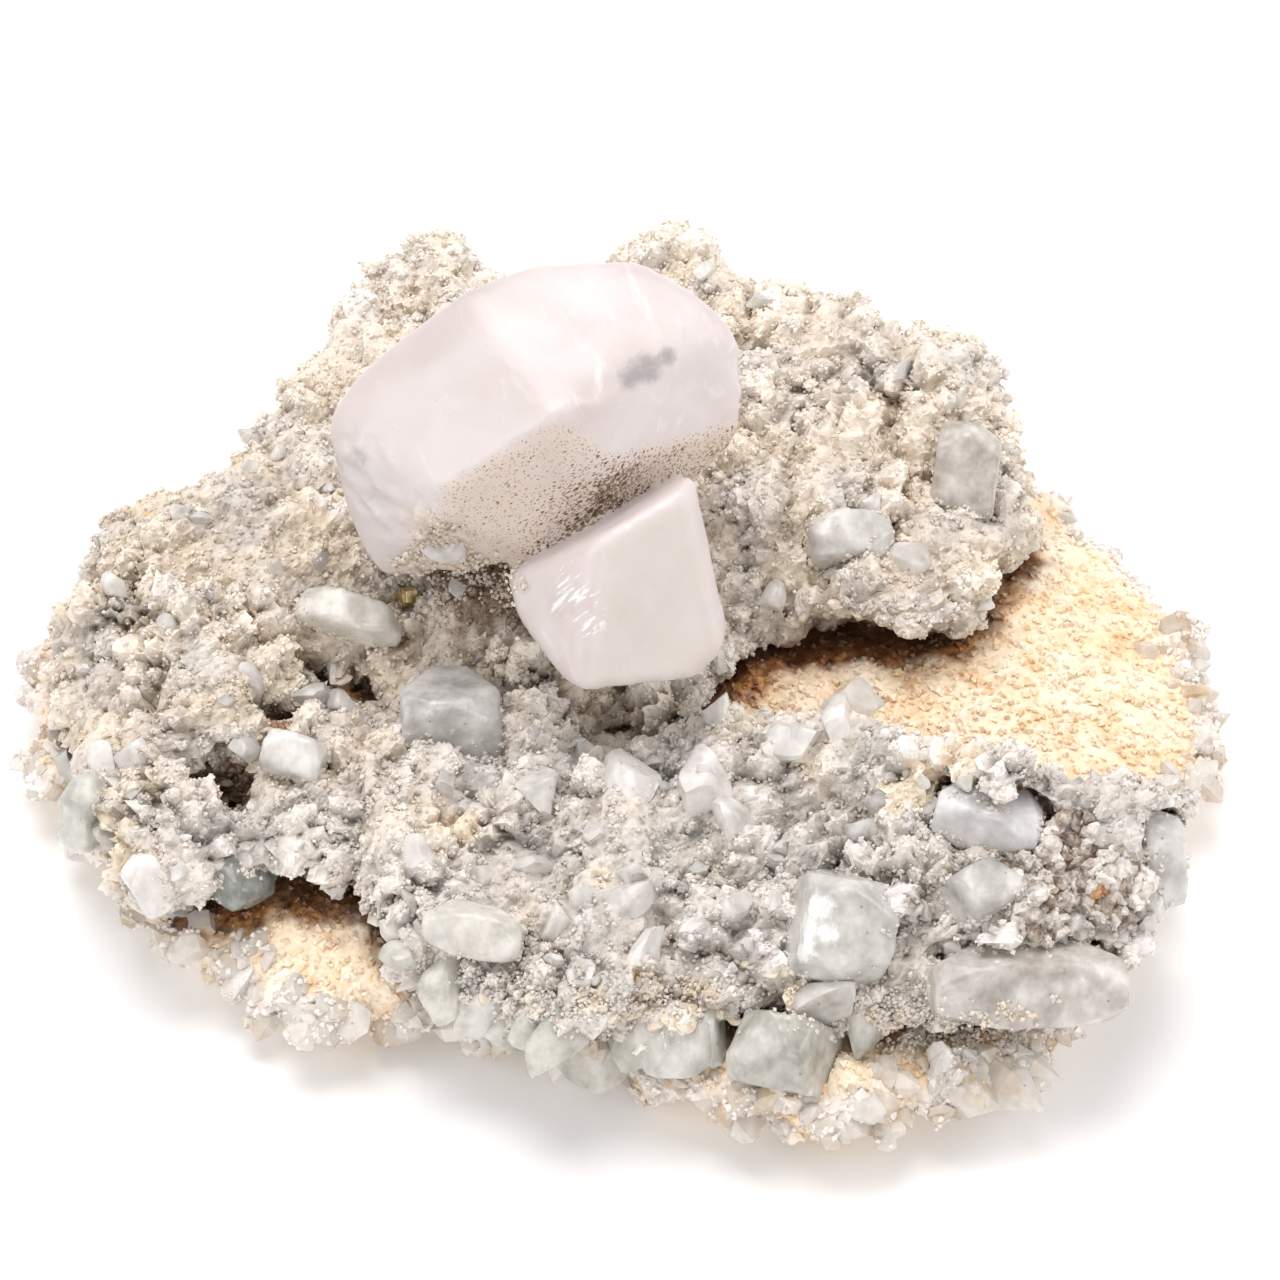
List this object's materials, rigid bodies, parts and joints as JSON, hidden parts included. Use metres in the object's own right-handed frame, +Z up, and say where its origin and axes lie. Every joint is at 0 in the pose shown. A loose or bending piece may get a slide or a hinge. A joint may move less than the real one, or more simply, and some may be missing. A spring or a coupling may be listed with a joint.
{
  "type": "calcite mineral specimen",
  "caption": "Milky white barrel-shaped calcite with a smaller one grown out from under it, on a C-shaped granular grey crust over a plate of honey-stained quartz points.",
  "frame": {"origin": "on the flat underside of the quartz bed, under the middle of the specimen, where it rests on a table", "axes": "+X to the right, along the specimen's longest side; +Y to the back; +Z up"},
  "size_m": [0.1219, 0.1146, 0.0509],
  "materials": {
    "milky_calcite": "satin",
    "granular_crust": "rough",
    "stained_quartz": "satin",
    "clear_crystal": "gloss",
    "pale_crystal": "satin",
    "pyrite": "gloss"
  },
  "bodies": {
    "root": {"quartz_bed": "stained_quartz", "grey_crust": "granular_crust", "calcite_crystals": "milky_calcite", "clear_block": "clear_crystal", "clear_wedge": "clear_crystal", "clear_long_crystal": "clear_crystal", "clear_low_crystal": "clear_crystal", "clear_end_crystal": "clear_crystal", "clear_ridge_crystal": "clear_crystal", "clear_back_crystal": "clear_crystal", "clear_blue_crystal": "clear_crystal", "green_left_crystal": "clear_crystal", "green_ledge_crystal": "clear_crystal", "pale_lump_crystal": "pale_crystal", "pale_row_crystal": "pale_crystal", "white_left_crystal": "pale_crystal", "white_middle_crystal": "pale_crystal", "pale_front_crystal": "pale_crystal", "pyrite_cluster": "pyrite"}
  },
  "joints": []
}
